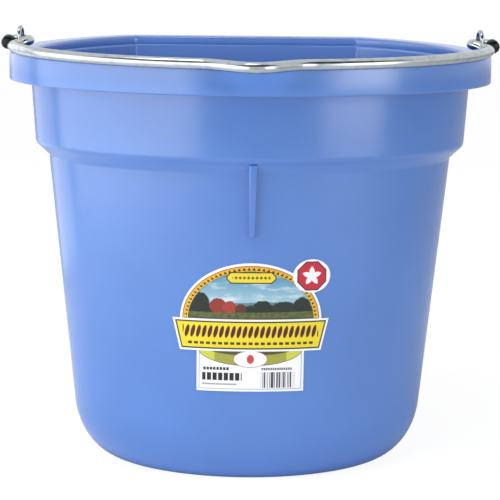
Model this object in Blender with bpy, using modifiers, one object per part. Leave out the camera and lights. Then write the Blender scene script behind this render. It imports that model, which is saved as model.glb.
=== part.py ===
"""Flat-back feed bucket of 20 quarts.

One moulded plastic shell carries a steel bail that swings in two wire eyes. Each eye's legs
pass through the rim and are headed over a backing plate under it. The rod's ends wear soft
caps, and a die-cut paper label is stuck to the front wall.

Frame: metres, +Z up. The origin is on the underside, below the line through both eyes.
The round front looks along -Y, the flat back along +Y, and the eyes are on the X axis.
"""

from math import acos, atan, ceil, cos, pi, radians, sin, sqrt, tan

import bmesh
import bpy
from mathutils import Matrix, Vector

# Overall sizes, over the rim
HEIGHT = 0.311
HALF_WIDTH = 0.181
FRONT_REACH = 0.140
BACK_REACH = 0.181
BACK_OVAL = 0.216  # reach of the oval that the flat back cuts short
RIM_CORNER = 0.017  # corner between the oval and the flat back, at the rim's edge
CREASE = 0.0025  # the same corner on the wall, nearly sharp

# Shell
WALL = 0.0028
FLOOR = 0.0034
BAND_DEPTH = 0.0215
BAND_WALL = 0.0028
FLANGE = 0.0032
RIM_ROUND = 0.003
LIP_DEPTH = 0.007
LIP_STEP = 0.0006
UPPER_TOP_INSET = 0.0155  # insets are measured inwards from the rim's outer edge
UPPER_FOOT_INSET = 0.0190
LOWER_TOP_INSET = 0.0291
WALL_TAPER = 0.0983
SHOULDER_BELOW_RIM = 0.0777
SHOULDER_RISE = 0.012
SHOULDER_ROUND = 0.006
BASE_RISE = 0.042  # the bottom edge is rounded from this height down
BASE_ROUND_FRONT = 0.014
BASE_ROUND_SIDE = 0.030
BACK_SHARE = 0.5  # how far the rounding of the back lies between the front's and the side's

# Front rib, a gusset under the shoulder
RIB_LENGTH = 0.0467
RIB_WIDTH = 0.0058
RIB_FOOT_WIDTH = 0.0044
RIB_PROUD = 0.0078
RIB_TIP = 0.0045  # how proud it still stands at its lower end
RIB_EDGE = 0.0006

# Rod, eyes, plates and caps
ROD_RADIUS = 0.004
ROD_BEND = 0.005
WIRE_RADIUS = 0.0017
EYE_INSET = 0.008
EYE_HEIGHT = 0.0175
EYE_TOE = radians(6)
SEAT_HEIGHT = 0.0022
SEAT_HALF_WIDTH = 0.0046
PLATE_THICKNESS = 0.0015
PLATE_MARGIN = 0.0017  # from the plate's edge to the nearer of band and wall
HEAD_RADIUS = 0.0027
HEAD_DEPTH = 0.0015
CAP_WALL = 0.0007
CAP_LENGTH = 0.0068
CAP_DOME = 0.0018
TIP_LENGTH = 0.0115
TIP_DROOP = 0.0012
LOBE_RISE = 0.0028
CORNER_INSET = 0.0075  # from the rim's edge to the rod, where it turns towards the eye
HOOK_SEAT_REACH = 0.020
HOOK_SEAT_HALF_WIDTH = 0.038
FRONT_OVERHANG = 0.0033  # how far the rod's centre lies outside the rim at the front

# Label
LABEL_THICKNESS = 0.0003
LABEL_BAND_FOOT = 0.1015
LABEL_BAND_TOP = 0.1255
LABEL_BAND_HALF_TOP = 0.0572
LABEL_BAND_HALF_FOOT = 0.0515
LABEL_ARCH_HALF = 0.0515
LABEL_ARCH_RISE = 0.042
LABEL_PANEL_HALF = 0.039
LABEL_PANEL_FOOT = 0.071
LABEL_SEAL_HALF_WIDTH = 0.0139
LABEL_SEAL_HALF_HEIGHT = 0.0124
LABEL_SEAL_SIDE = 0.0437
LABEL_SEAL_RISE = 0.032

# Clearances
GAP = 0.0003  # between pieces that touch
RUNNING = 0.0005  # between the rod and its eye
SWING = 0.001  # between swinging and standing steel

# Fineness
FRONT_STEPS = 14
SIDE_STEPS = 8
CORNER_STEPS = 3
ARC_STEPS = 34
BEND_STEP = radians(20)

# Worked out from the sizes above
SHOULDER_Z = HEIGHT - SHOULDER_BELOW_RIM
EYE_X = HALF_WIDTH - EYE_INSET
PIVOT_Z = HEIGHT + SEAT_HEIGHT + GAP + ROD_RADIUS
EYE_HALF_SPAN = ROD_RADIUS + RUNNING + WIRE_RADIUS
PLATE_WIDTH = 2 * (min(EYE_INSET - BAND_WALL, UPPER_TOP_INSET - EYE_INSET) - PLATE_MARGIN)
CAP_RADIUS = ROD_RADIUS + GAP + CAP_WALL
LOBE_REACH = WIRE_RADIUS + ROD_RADIUS + EYE_HALF_SPAN * sin(EYE_TOE) + GAP * 2
TIP_REACH = WIRE_RADIUS + CAP_RADIUS + EYE_HALF_SPAN * sin(EYE_TOE) + SWING
CORNER_REACH = EYE_HEIGHT - (PIVOT_Z - HEIGHT) + ROD_RADIUS + SWING + ROD_RADIUS / 2
PLATE_TOP_Z = HEIGHT - FLANGE - GAP
HEAD_TOP_Z = PLATE_TOP_Z - PLATE_THICKNESS - GAP


def material(name, colour, roughness, metallic=0.0):
    made = bpy.data.materials.new(name)
    made.use_nodes = True
    shader = made.node_tree.nodes["Principled BSDF"]
    shader.inputs["Base Color"].default_value = (*colour, 1.0)
    shader.inputs["Roughness"].default_value = roughness
    shader.inputs["Metallic"].default_value = metallic
    made.diffuse_color = (*colour, 1.0)
    return made


def new_object(name, data, collection, parent=None):
    made = bpy.data.objects.new(name, data)
    collection.objects.link(made)
    made.parent = parent
    return made


def meshed(name, curve, collection):
    """The mesh of a curve as an object, with its caps welded on, and without the curve."""
    source = new_object(name + "_curve", curve, collection)
    bpy.context.view_layer.update()
    graph = bpy.context.evaluated_depsgraph_get()
    mesh = bpy.data.meshes.new_from_object(source.evaluated_get(graph))
    bpy.data.objects.remove(source)
    work = bmesh.new()
    work.from_mesh(mesh)
    bmesh.ops.remove_doubles(work, verts=work.verts, dist=0.00001)
    bmesh.ops.recalc_face_normals(work, faces=work.faces)
    work.to_mesh(mesh)
    work.free()
    mesh.name = name
    return new_object(name, mesh, collection)


# ---------------------------------------------------------------- the plan


def oval(angle):
    """Point and outward normal of the rim's oval. 0 is the front, 90 degrees the +X side."""
    reach = FRONT_REACH if angle <= pi / 2 else BACK_OVAL
    point = Vector((HALF_WIDTH * sin(angle), -reach * cos(angle)))
    normal = Vector((reach * sin(angle), -HALF_WIDTH * cos(angle))).normalized()
    return point, normal


def inset_oval(angle, inset):
    point, normal = oval(angle)
    return point - normal * inset


def corner_angle(inset):
    """Where the inset oval reaches the inset line of the flat back."""
    low, high = pi / 2, pi
    for _ in range(40):
        middle = (low + high) / 2
        if inset_oval(middle, inset).y < BACK_REACH - inset:
            low = middle
        else:
            high = middle
    return low


def plan(inset, corner, sideways=0.0):
    """The D-shaped outline at an inset from the rim's edge, with its back corners rounded.
    Its sides lie further in by sideways, its front doesn't, and its back takes a share."""
    back_inset = inset + sideways * BACK_SHARE
    turn = corner_angle(back_inset + corner)
    centre = inset_oval(turn, back_inset + corner)
    side = []
    for k in range(FRONT_STEPS):
        angle = pi / 2 * k / FRONT_STEPS
        side.append(inset_oval(angle, inset + sideways * sin(angle) ** 2))
    for k in range(SIDE_STEPS):
        share = 1 - (1 - BACK_SHARE) * (k / SIDE_STEPS) ** 2
        side.append(inset_oval(pi / 2 + (turn - pi / 2) * k / SIDE_STEPS, inset + sideways * share))
    normal = oval(turn)[1]
    start = normal.angle_signed(Vector((0, 1)))
    for k in range(CORNER_STEPS + 1):
        outward = normal.copy()
        outward.rotate(Matrix.Rotation(-start * k / CORNER_STEPS, 2))
        side.append(centre + outward * corner)
    side.append(Vector((0, BACK_REACH - back_inset)))
    other = [Vector((-point.x, point.y)) for point in side[-2:0:-1]]
    return side + other


# ---------------------------------------------------------------- the shell


def lower_inset(z):
    """Inset of the lower wall's outer face at a height."""
    return LOWER_TOP_INSET + (SHOULDER_Z - z) * WALL_TAPER


def base_round(floor_z, wall_inset):
    """Inset, height and sideways inset along the rounded edge between a floor and the wall."""
    steps = 7
    for k in range(steps + 1):
        angle = pi / 2 * (steps - k) / steps
        z = floor_z + (BASE_RISE - floor_z) * (1 - sin(angle))
        reach = 1 - cos(angle)
        inset = lower_inset(z) + wall_inset + (BASE_ROUND_FRONT - wall_inset) * reach
        yield inset, z, (BASE_ROUND_SIDE - BASE_ROUND_FRONT) * reach


def shoulder(wall_inset):
    """Inset and height up the shoulder, from the lower wall to the foot of the upper wall."""
    centre_inset = UPPER_FOOT_INSET + SHOULDER_ROUND
    centre_z = SHOULDER_Z + SHOULDER_RISE
    yield LOWER_TOP_INSET + wall_inset, SHOULDER_Z
    for angle in (radians(-50), radians(-25), 0):
        yield (
            centre_inset - SHOULDER_ROUND * cos(angle) + wall_inset,
            centre_z + SHOULDER_ROUND * sin(angle),
        )


def shell_section():
    """Inset, height, back-corner radius and sideways inset round the wall's section, from
    under the floor up the outside, over the rim and its hanging band, and down the inside."""
    outer_crease = CREASE + WALL
    rows = [(inset, z, outer_crease, sideways) for inset, z, sideways in base_round(0, 0)]
    rows += [(inset, z, outer_crease) for inset, z in shoulder(0)]
    underside = HEIGHT - FLANGE
    band_foot = HEIGHT - BAND_DEPTH
    soft = RIM_ROUND / 4
    rows += [
        (UPPER_TOP_INSET, underside - soft, outer_crease),
        (UPPER_TOP_INSET - soft, underside, outer_crease),
        (BAND_WALL + soft, underside, RIM_CORNER - BAND_WALL),
        (BAND_WALL, underside - soft, RIM_CORNER - BAND_WALL),
        (BAND_WALL, band_foot + soft, RIM_CORNER - BAND_WALL),
        (BAND_WALL - soft, band_foot, RIM_CORNER - BAND_WALL),
        (soft, band_foot, RIM_CORNER),
        (0, band_foot + soft, RIM_CORNER),
    ]
    for k in range(4):
        angle = pi / 2 * k / 3
        rows.append(
            (RIM_ROUND * (1 - cos(angle)), HEIGHT - RIM_ROUND * (1 - sin(angle)), RIM_CORNER - RIM_ROUND)
        )
    lip = UPPER_TOP_INSET + WALL - LIP_STEP
    rows += [
        (lip - RIM_ROUND * 0.7, HEIGHT, RIM_CORNER / 2),
        (lip - RIM_ROUND * 0.2, HEIGHT - RIM_ROUND * 0.2, RIM_CORNER / 2),
        (lip, HEIGHT - RIM_ROUND * 0.7, RIM_CORNER / 2),
        (lip, HEIGHT - LIP_DEPTH, RIM_CORNER / 2),
        (lip + LIP_STEP, HEIGHT - LIP_DEPTH - LIP_STEP, CREASE),
    ]
    rows += [(inset, z, CREASE) for inset, z in reversed(list(shoulder(WALL)))]
    inner_round = reversed(list(base_round(FLOOR, WALL)))
    rows += [(inset, z, CREASE, sideways) for inset, z, sideways in inner_round]
    return rows


def lofted(name, rows, collection):
    """A closed solid through the D-shaped outlines of all rows, with flat ends."""
    mesh = bpy.data.meshes.new(name)
    work = bmesh.new()
    rings = []
    for inset, z, *shape in rows:
        rings.append([work.verts.new((point.x, point.y, z)) for point in plan(inset, *shape)])
    count = len(rings[0])
    for lower, upper in zip(rings, rings[1:]):
        for k in range(count):
            after = (k + 1) % count
            work.faces.new((lower[k], lower[after], upper[after], upper[k]))
    work.faces.new(reversed(rings[0]))
    work.faces.new(rings[-1])
    bmesh.ops.triangulate(work, faces=work.faces)
    bmesh.ops.recalc_face_normals(work, faces=work.faces)
    work.to_mesh(mesh)
    work.free()
    return new_object(name, mesh, collection)


def tool_object(name, work, collection):
    """A helper solid that a Boolean uses and that isn't a piece."""
    bmesh.ops.recalc_face_normals(work, faces=work.faces)
    mesh = bpy.data.meshes.new(name)
    work.to_mesh(mesh)
    work.free()
    made = new_object(name, mesh, collection)
    made.hide_render = True
    made.display_type = "WIRE"
    return made


def rib_solid(collection):
    """A blunt wedge down the front wall, sunk a little into wall and shoulder."""
    sunk = WALL * 0.4
    top_z = SHOULDER_Z + SHOULDER_RISE * 0.55
    foot_z = SHOULDER_Z - RIB_LENGTH
    wall_y = -(FRONT_REACH - LOWER_TOP_INSET)
    foot_y = -(FRONT_REACH - lower_inset(foot_z))
    work = bmesh.new()
    bmesh.ops.create_cube(work, size=1.0)
    for vert in work.verts:
        above, in_front = vert.co.z > 0, vert.co.y < 0
        half = (RIB_WIDTH if above else RIB_FOOT_WIDTH) / 2
        vert.co.x = half if vert.co.x > 0 else -half
        if above:
            vert.co.y = wall_y - RIB_PROUD if in_front else wall_y + sunk
            vert.co.z = top_z if in_front else SHOULDER_Z
        else:
            vert.co.y = foot_y - RIB_TIP if in_front else foot_y + sunk
            vert.co.z = foot_z
    face_y = max(wall_y - RIB_PROUD, foot_y - RIB_TIP) + RIB_EDGE
    edges = [e for e in work.edges if all(v.co.y < face_y for v in e.verts)]
    uprights = [e for e in edges if abs(e.verts[0].co.z - e.verts[1].co.z) > RIB_LENGTH / 2]
    bmesh.ops.bevel(work, geom=uprights, offset=RIB_EDGE, segments=2, affect="EDGES")
    return tool_object("rib_solid", work, collection)


def eye_seat_solid(side, collection):
    """The raised oval seat that an eye stands on."""
    work = bmesh.new()
    deep = FLANGE * 0.5
    height = SEAT_HEIGHT + deep
    bmesh.ops.create_cone(
        work, cap_ends=True, segments=24, depth=height,
        radius1=SEAT_HALF_WIDTH, radius2=SEAT_HALF_WIDTH - SEAT_HEIGHT / 3,
    )
    half_length = EYE_HALF_SPAN + WIRE_RADIUS * 2.5
    bmesh.ops.scale(work, vec=(1, half_length / SEAT_HALF_WIDTH, 1), verts=work.verts)
    place = Vector((side * EYE_X, 0, HEIGHT - deep + height / 2))
    bmesh.ops.translate(work, vec=place, verts=work.verts)
    return tool_object(f"eye_seat_{side_name(side)}", work, collection)


def leg_hole(side, leg, collection):
    work = bmesh.new()
    bmesh.ops.create_cone(
        work, cap_ends=True, segments=16, depth=(SEAT_HEIGHT + FLANGE) * 2,
        radius1=WIRE_RADIUS + GAP, radius2=WIRE_RADIUS + GAP,
    )
    place = leg_place(side, leg)
    bmesh.ops.translate(work, vec=(place.x, place.y, HEIGHT), verts=work.verts)
    return tool_object(f"leg_hole_{side_name(side)}_{leg}", work, collection)


def side_name(side):
    return "right" if side > 0 else "left"


def leg_place(side, leg):
    """Centre of an eye's front (leg -1) or back (leg 1) wire. The eyes toe out to the front."""
    return Vector(
        (side * (EYE_X - leg * EYE_HALF_SPAN * sin(EYE_TOE)), leg * EYE_HALF_SPAN * cos(EYE_TOE))
    )


def make_shell(parts, cutters, plastic):
    shell = lofted("bucket_shell", shell_section(), parts)
    tools = [("UNION", rib_solid(cutters))]
    for side in (-1, 1):
        tools.append(("UNION", eye_seat_solid(side, cutters)))
    for side in (-1, 1):
        for leg in (-1, 1):
            tools.append(("DIFFERENCE", leg_hole(side, leg, cutters)))
    for operation, tool in tools:
        modifier = shell.modifiers.new(tool.name, "BOOLEAN")
        modifier.operation = operation
        modifier.object = tool
    shell.data.materials.append(plastic)
    shell.data.shade_smooth()
    shell.data.set_sharp_from_angle(angle=radians(35))
    return shell


# ---------------------------------------------------------------- wire work


def wire(points, radius, name, swell=None):
    """A round wire through points. swell gives the radius of single points as a factor."""
    curve = bpy.data.curves.new(name, "CURVE")
    curve.dimensions = "3D"
    curve.bevel_depth = radius
    curve.bevel_resolution = 4 if radius > WIRE_RADIUS else 3
    curve.use_fill_caps = True
    spline = curve.splines.new("POLY")
    spline.points.add(len(points) - 1)
    for k, (target, point) in enumerate(zip(spline.points, points)):
        target.co = (*point, 1)
        target.radius = swell[k] if swell else 1
    return curve


def bend(before, corner, after, radius):
    """Points of the arc that rounds one corner of a rod."""
    arriving = (corner - before).normalized()
    leaving = (after - corner).normalized()
    turn = arriving.angle(leaving)
    inward = (leaving - arriving * arriving.dot(leaving)).normalized()
    centre = corner - arriving * radius * tan(turn / 2) + inward * radius
    steps = ceil(turn / BEND_STEP)
    for k in range(steps + 1):
        angle = turn * k / steps
        yield centre - inward * radius * cos(angle) + arriving * radius * sin(angle)


def rod_offset(rise):
    """How far outside the rim's edge the rod's centre lies when it touches the rounded edge
    with its centre this high above the rim."""
    reach = RIM_ROUND + ROD_RADIUS + GAP
    return sqrt(max(reach**2 - (rise + RIM_ROUND) ** 2, 0)) - RIM_ROUND


def rod_rise(ahead):
    """Height of the bail's rod above the rim. It falls steadily from the corners forward."""
    corner_rise = ROD_RADIUS + GAP
    reach = RIM_ROUND + ROD_RADIUS + GAP
    front_rise = sqrt(reach**2 - (FRONT_OVERHANG + RIM_ROUND) ** 2) - RIM_ROUND
    share = (ahead - CORNER_REACH) / (FRONT_REACH + FRONT_OVERHANG - CORNER_REACH)
    return corner_rise + (front_rise - corner_rise) * share


def rod_on_rim(angle):
    """The rod's centre where it lies on the rim's rounded edge, at an angle from the front."""
    edge, normal = oval(angle)
    rise = rod_rise(-edge.y)
    point = edge + normal * rod_offset(rise)
    if abs(point.x) < HOOK_SEAT_HALF_WIDTH:
        point.y -= HOOK_SEAT_REACH * cos(pi / 2 * point.x / HOOK_SEAT_HALF_WIDTH) ** 2
    return Vector((point.x, point.y, HEIGHT + rod_rise(-point.y)))


def bail_half():
    """The rod's centre line on the +X side, from the front's middle to the capped tip."""
    last_angle = acos((CORNER_REACH + ROD_BEND * 2.4) / FRONT_REACH)
    line = [rod_on_rim(last_angle * k / ARC_STEPS) for k in range(ARC_STEPS + 1)]
    edge_x = oval(acos(CORNER_REACH / FRONT_REACH))[0].x
    low = HEIGHT + ROD_RADIUS + GAP
    corner = Vector((edge_x - CORNER_INSET, -CORNER_REACH, low + GAP))
    lobe = Vector((EYE_X - LOBE_REACH, -CORNER_REACH + 0.003, low + LOBE_RISE))
    inside = Vector((EYE_X - LOBE_REACH, 0, PIVOT_Z))
    outside = Vector((EYE_X + TIP_REACH, 0, PIVOT_Z))
    tip = Vector((EYE_X + TIP_REACH, -TIP_LENGTH, PIVOT_Z - TIP_DROOP))
    stops = [line[-1], corner, lobe, inside, outside, tip]
    for before, at, after in zip(stops, stops[1:], stops[2:]):
        line += bend(before, at, after, ROD_BEND)
    return line + [tip]


def make_bail(parts, pivot, steel):
    half = bail_half()
    other = [Vector((-point.x, point.y, point.z)) for point in half[:0:-1]]
    down = Vector((0, 0, PIVOT_Z))
    bail = new_object("bail", wire([p - down for p in other + half], ROD_RADIUS, "bail"), parts, pivot)
    bail.data.materials.append(steel)
    return bail


def cap_profile():
    """Radius and height of a soft cap, from its closed end down the outside and up the inside.
    Height 0 is the rod's end, and the cap reaches down over the rod."""
    inner = ROD_RADIUS + GAP
    points = [(0, GAP + CAP_DOME)]
    for angle in (radians(62), radians(32), 0):
        points.append((CAP_RADIUS * cos(angle), GAP + CAP_DOME * sin(angle)))
    return points + [(CAP_RADIUS, -CAP_LENGTH), (inner, -CAP_LENGTH), (inner, GAP), (0, GAP)]


def make_cap(side, parts, pivot, vinyl):
    mesh = bpy.data.meshes.new("bail_cap")
    points = [(radius, 0, height) for radius, height in cap_profile()]
    mesh.from_pydata(points, [(k, k + 1) for k in range(len(points) - 1)], [])
    cap = new_object(f"bail_cap_{side_name(side)}", mesh, parts, pivot)
    turned = cap.modifiers.new("turned", "SCREW")
    turned.steps = turned.render_steps = 16
    turned.use_merge_vertices = True
    turned.merge_threshold = 0.00001
    turned.use_smooth_shade = True
    along = Vector((0, -TIP_LENGTH, -TIP_DROOP)).normalized()
    cap.rotation_euler = Vector((0, 0, 1)).rotation_difference(along).to_euler()
    cap.location = (side * (EYE_X + TIP_REACH), -TIP_LENGTH, -TIP_DROOP)
    mesh.materials.append(vinyl)
    return cap


def make_eye(side, parts, steel):
    """A wire hoop whose two legs pass through seat, rim and plate and end in a head."""
    front, back = leg_place(side, -1), leg_place(side, 1)
    middle, reach = (front + back) / 2, (back - front) / 2
    foot_z = HEAD_TOP_Z - HEAD_DEPTH
    spring_z = HEIGHT + EYE_HEIGHT - WIRE_RADIUS - EYE_HALF_SPAN
    leg = [(foot_z, HEAD_RADIUS), (HEAD_TOP_Z, HEAD_RADIUS), (HEAD_TOP_Z + GAP / 10, WIRE_RADIUS)]
    points = [Vector((*front, z)) for z, _ in leg]
    swell = [radius / WIRE_RADIUS for _, radius in leg]
    hoop_steps = 10
    for k in range(hoop_steps + 1):
        angle = pi * k / hoop_steps
        across = middle - reach * cos(angle)
        points.append(Vector((*across, spring_z + EYE_HALF_SPAN * sin(angle))))
        swell.append(1)
    points += [Vector((*back, z)) for z, _ in reversed(leg)]
    swell += swell[:3][::-1]
    name = f"eye_{side_name(side)}"
    eye = new_object(name, wire(points, WIRE_RADIUS, name, swell), parts)
    eye.data.materials.append(steel)
    return eye


def round_outline(curve, centre, radius, half_straight, steps=8):
    """A closed outline of two half circles joined by straight sides along Y."""
    spline = curve.splines.new("POLY")
    points = []
    for end in (1, -1):
        for k in range(steps + 1):
            angle = pi * k / steps + (0 if end > 0 else pi)
            points.append((radius * cos(angle), radius * sin(angle) + end * half_straight))
    spline.points.add(len(points) - 1)
    for target, point in zip(spline.points, points):
        target.co = (centre.x + point[0], centre.y + point[1], 0, 1)
    spline.use_cyclic_u = True


def make_plate(side, parts, steel):
    """The backing plate under the rim, with a hole for each leg."""
    name = f"eye_plate_{side_name(side)}"
    curve = bpy.data.curves.new(name, "CURVE")
    curve.dimensions = "2D"
    curve.fill_mode = "BOTH"
    curve.extrude = PLATE_THICKNESS / 2
    centre = (leg_place(side, -1) + leg_place(side, 1)) / 2
    round_outline(curve, centre, PLATE_WIDTH / 2, EYE_HALF_SPAN)
    for leg in (-1, 1):
        round_outline(curve, leg_place(side, leg), WIRE_RADIUS + GAP, 0, steps=6)
    plate = new_object(name, curve, parts)
    plate.location.z = PLATE_TOP_Z - PLATE_THICKNESS / 2
    curve.materials.append(steel)
    return plate


# ---------------------------------------------------------------- the label


def label_outline():
    """The label's flat outline: an arch with a round seal on its shoulder, a wide band and a
    panel below. The first number runs along the wall from its middle, the second is the height."""
    arch_steps, seal_steps = 20, 14
    seal = Vector((LABEL_SEAL_SIDE, LABEL_BAND_TOP + LABEL_SEAL_RISE))
    seal_size = Vector((LABEL_SEAL_HALF_WIDTH, LABEL_SEAL_HALF_HEIGHT))

    def over_arch(point):
        across = point.x / LABEL_ARCH_HALF
        up = (point.y - LABEL_BAND_TOP) / LABEL_ARCH_RISE
        return across**2 + up**2 > 1

    def over_seal(point):
        off = point - seal
        return (off.x / seal_size.x) ** 2 + (off.y / seal_size.y) ** 2 > 1

    arch = [
        Vector((LABEL_ARCH_HALF * cos(angle), LABEL_BAND_TOP + LABEL_ARCH_RISE * sin(angle)))
        for angle in (pi * k / arch_steps for k in range(arch_steps + 1))
    ]
    free = [point for point in arch if over_seal(point)]
    ring = [
        seal + seal_size * Vector((cos(angle), sin(angle)))
        for angle in (-pi * 0.75 + 2 * pi * k / seal_steps for k in range(seal_steps))
    ]
    right = [point for point in free if point.x > LABEL_SEAL_SIDE]
    left = [point for point in free if point.x < LABEL_SEAL_SIDE]
    return [
        Vector((-LABEL_PANEL_HALF, LABEL_PANEL_FOOT)),
        Vector((LABEL_PANEL_HALF, LABEL_PANEL_FOOT)),
        Vector((LABEL_PANEL_HALF, LABEL_BAND_FOOT)),
        Vector((LABEL_BAND_HALF_FOOT, LABEL_BAND_FOOT)),
        Vector((LABEL_BAND_HALF_TOP, LABEL_BAND_TOP)),
        *right,
        *(point for point in ring if over_arch(point)),
        *left,
        Vector((-LABEL_BAND_HALF_TOP, LABEL_BAND_TOP)),
        Vector((-LABEL_BAND_HALF_FOOT, LABEL_BAND_FOOT)),
        Vector((-LABEL_PANEL_HALF, LABEL_BAND_FOOT)),
    ]


def wall_point(along, z, proud):
    """The point that lies this far round the front wall, at a height, and proud of it."""
    inset = lower_inset(z)
    steps = 12
    angle = 0.0
    for _ in range(steps):
        step = radians(0.5)
        speed = (inset_oval(angle + step, inset) - inset_oval(angle, inset)).length / step
        angle += abs(along) / steps / speed
    point, normal = oval(angle)
    point = point - normal * (inset - proud)
    return Vector((point.x if along > 0 else -point.x, point.y, z))


def make_label(parts, paper):
    curve = bpy.data.curves.new("label", "CURVE")
    curve.dimensions = "2D"
    curve.fill_mode = "BOTH"
    curve.extrude = LABEL_THICKNESS / 2
    spline = curve.splines.new("POLY")
    outline = label_outline()
    spline.points.add(len(outline) - 1)
    for target, point in zip(spline.points, outline):
        target.co = (point.x, point.y, 0, 1)
    spline.use_cyclic_u = True
    label = meshed("label", curve, parts)
    work = bmesh.new()
    work.from_mesh(label.data)
    columns = 12
    for k in range(1, columns):
        x = LABEL_BAND_HALF_TOP * (2 * k / columns - 1)
        geometry = work.verts[:] + work.edges[:] + work.faces[:]
        bmesh.ops.bisect_plane(work, geom=geometry, plane_co=(x, 0, 0), plane_no=(1, 0, 0))
    bmesh.ops.triangulate(work, faces=work.faces)
    for vert in work.verts:
        proud = GAP + LABEL_THICKNESS / 2 + vert.co.z
        vert.co = wall_point(vert.co.x, vert.co.y, proud)
    bmesh.ops.recalc_face_normals(work, faces=work.faces)
    work.to_mesh(label.data)
    work.free()
    label.data.materials.append(paper)
    return label


def main():
    for old in list(bpy.data.objects):
        bpy.data.objects.remove(old)
    parts = bpy.data.collections.new("feed_bucket")
    cutters = bpy.data.collections.new("cutters")
    for collection in (parts, cutters):
        bpy.context.scene.collection.children.link(collection)

    plastic = material("blue_plastic", (0.16, 0.33, 0.75), 0.35)
    steel = material("galvanised_steel", (0.55, 0.58, 0.58), 0.35, 1.0)
    vinyl = material("black_vinyl", (0.012, 0.014, 0.018), 0.4)
    paper = material("printed_paper", (0.80, 0.78, 0.60), 0.5)

    make_shell(parts, cutters, plastic)
    pivot = new_object("bail_pivot", None, parts)
    pivot.location = (0, 0, PIVOT_Z)
    make_bail(parts, pivot, steel)
    for side in (-1, 1):
        make_cap(side, parts, pivot, vinyl)
        make_eye(side, parts, steel)
        make_plate(side, parts, steel)
    make_label(parts, paper)


main()
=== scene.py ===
"""Flat-back feed bucket of moulded polyethylene, with a galvanised bail and a printed label."""

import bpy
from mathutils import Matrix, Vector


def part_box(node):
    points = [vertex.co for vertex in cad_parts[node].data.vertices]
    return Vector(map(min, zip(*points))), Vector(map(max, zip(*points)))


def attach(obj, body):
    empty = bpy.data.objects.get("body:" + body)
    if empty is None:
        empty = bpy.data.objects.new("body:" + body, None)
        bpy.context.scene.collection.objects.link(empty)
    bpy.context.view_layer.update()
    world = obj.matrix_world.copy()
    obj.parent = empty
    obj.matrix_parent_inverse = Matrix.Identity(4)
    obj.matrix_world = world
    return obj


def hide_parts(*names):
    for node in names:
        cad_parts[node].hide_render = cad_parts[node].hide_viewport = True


bl_info = {
    "name": "Feed Bucket",
    "version": (1, 0, 0),
    "blender": (4, 5, 0),
    "location": "3D View > Sidebar > Feed Bucket",
    "description": "Models a flat-back feed bucket around its packed frame, with a plain studio",
    "category": "Add Mesh",
}

from math import cos, pi, radians, sin

import bmesh
import bpy
from bpy.props import FloatProperty, FloatVectorProperty, PointerProperty
from mathutils import Matrix, Vector

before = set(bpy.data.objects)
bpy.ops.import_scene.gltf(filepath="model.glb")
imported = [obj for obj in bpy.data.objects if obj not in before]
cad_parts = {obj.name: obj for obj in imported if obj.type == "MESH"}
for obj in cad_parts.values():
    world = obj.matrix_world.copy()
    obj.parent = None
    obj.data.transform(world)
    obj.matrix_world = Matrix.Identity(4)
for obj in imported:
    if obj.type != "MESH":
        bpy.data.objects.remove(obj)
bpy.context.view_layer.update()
SHELL_LOW, SHELL_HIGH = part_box("bucket_shell")

# Sizes of the moulding, which follow the frame's own
SEAT_HEIGHT = 0.0022
RIM_Z = SHELL_HIGH.z - SEAT_HEIGHT
HALF_WIDTH = SHELL_HIGH.x
FRONT_REACH = -SHELL_LOW.y
BACK_REACH = SHELL_HIGH.y
BACK_OVAL = 0.216
RIM_CORNER = 0.017
CREASE = 0.0025
WALL = 0.0028
FLOOR = 0.0034
BAND_DEPTH = 0.0215
BAND_WALL = 0.0028
FLANGE = 0.0032
RIM_ROUND = 0.003
LIP_DEPTH = 0.007
LIP_STEP = 0.0006
LIP_ROUND = 0.0022
BAND_FOOT_ROUND = 0.001
FLAT_EDGE = 0.004
UPPER_TOP_INSET = 0.0155
UPPER_FOOT_INSET = 0.0190
LOWER_TOP_INSET = 0.0291
WALL_TAPER = 0.0983
SHOULDER_Z = RIM_Z - 0.0777
SHOULDER_RISE = 0.012
SHOULDER_ROUND = 0.006
BASE_RISE = 0.042
BASE_ROUND_FRONT = 0.014
BASE_ROUND_SIDE = 0.030
BACK_SHARE = 0.5
RIB_LENGTH = 0.0467
RIB_WIDTH = 0.0058
RIB_FOOT_WIDTH = 0.0044
RIB_PROUD = 0.0078
RIB_TIP = 0.0045

SMALL_ROUND = 0.0009

# Wire work
EYE_INSET = 0.008
EYE_X = HALF_WIDTH - EYE_INSET
EYE_HALF_SPAN = 0.0062
EYE_TOE = radians(6)
SEAT_HALF_WIDTH = 0.0046
WIRE_RADIUS = 0.0017
HOLE_CLEARANCE = 0.0003
HOLE_LENGTH = 0.012

# Label. Its map holds a square this wide, so that 1 on the map is 200 mm
MAP_SPAN = 0.2
LABEL_THICKNESS = 0.0003
LABEL_GAP = 0.0003
BAND_FOOT, BAND_TOP = 0.1015, 0.1255
BAND_HALF_TOP, BAND_HALF_FOOT = 0.0572, 0.0515
ARCH_HALF, ARCH_RISE = 0.0515, 0.042
PANEL_HALF, PANEL_FOOT = 0.039, 0.071
SEAL_SIDE, SEAL_Z = 0.0437, 0.1575
SEAL_HALF_WIDTH, SEAL_HALF_HEIGHT = 0.0139, 0.0124

# Fineness of the moulding
FRONT_STEPS, SIDE_STEPS, CORNER_STEPS = 30, 18, 7


# ---------------------------------------------------------------- colour and nodes


def sizes():
    return bpy.context.scene.feed_bucket_sizes


def colours():
    return bpy.context.scene.feed_bucket_colours


def linear(hex_colour):
    """The linear red, green, blue and alpha of an sRGB hex colour."""
    channels = [int(hex_colour[k : k + 2], 16) / 255 for k in (1, 3, 5)]
    return (*(c / 12.92 if c <= 0.04045 else ((c + 0.055) / 1.055) ** 2.4 for c in channels), 1.0)


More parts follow.
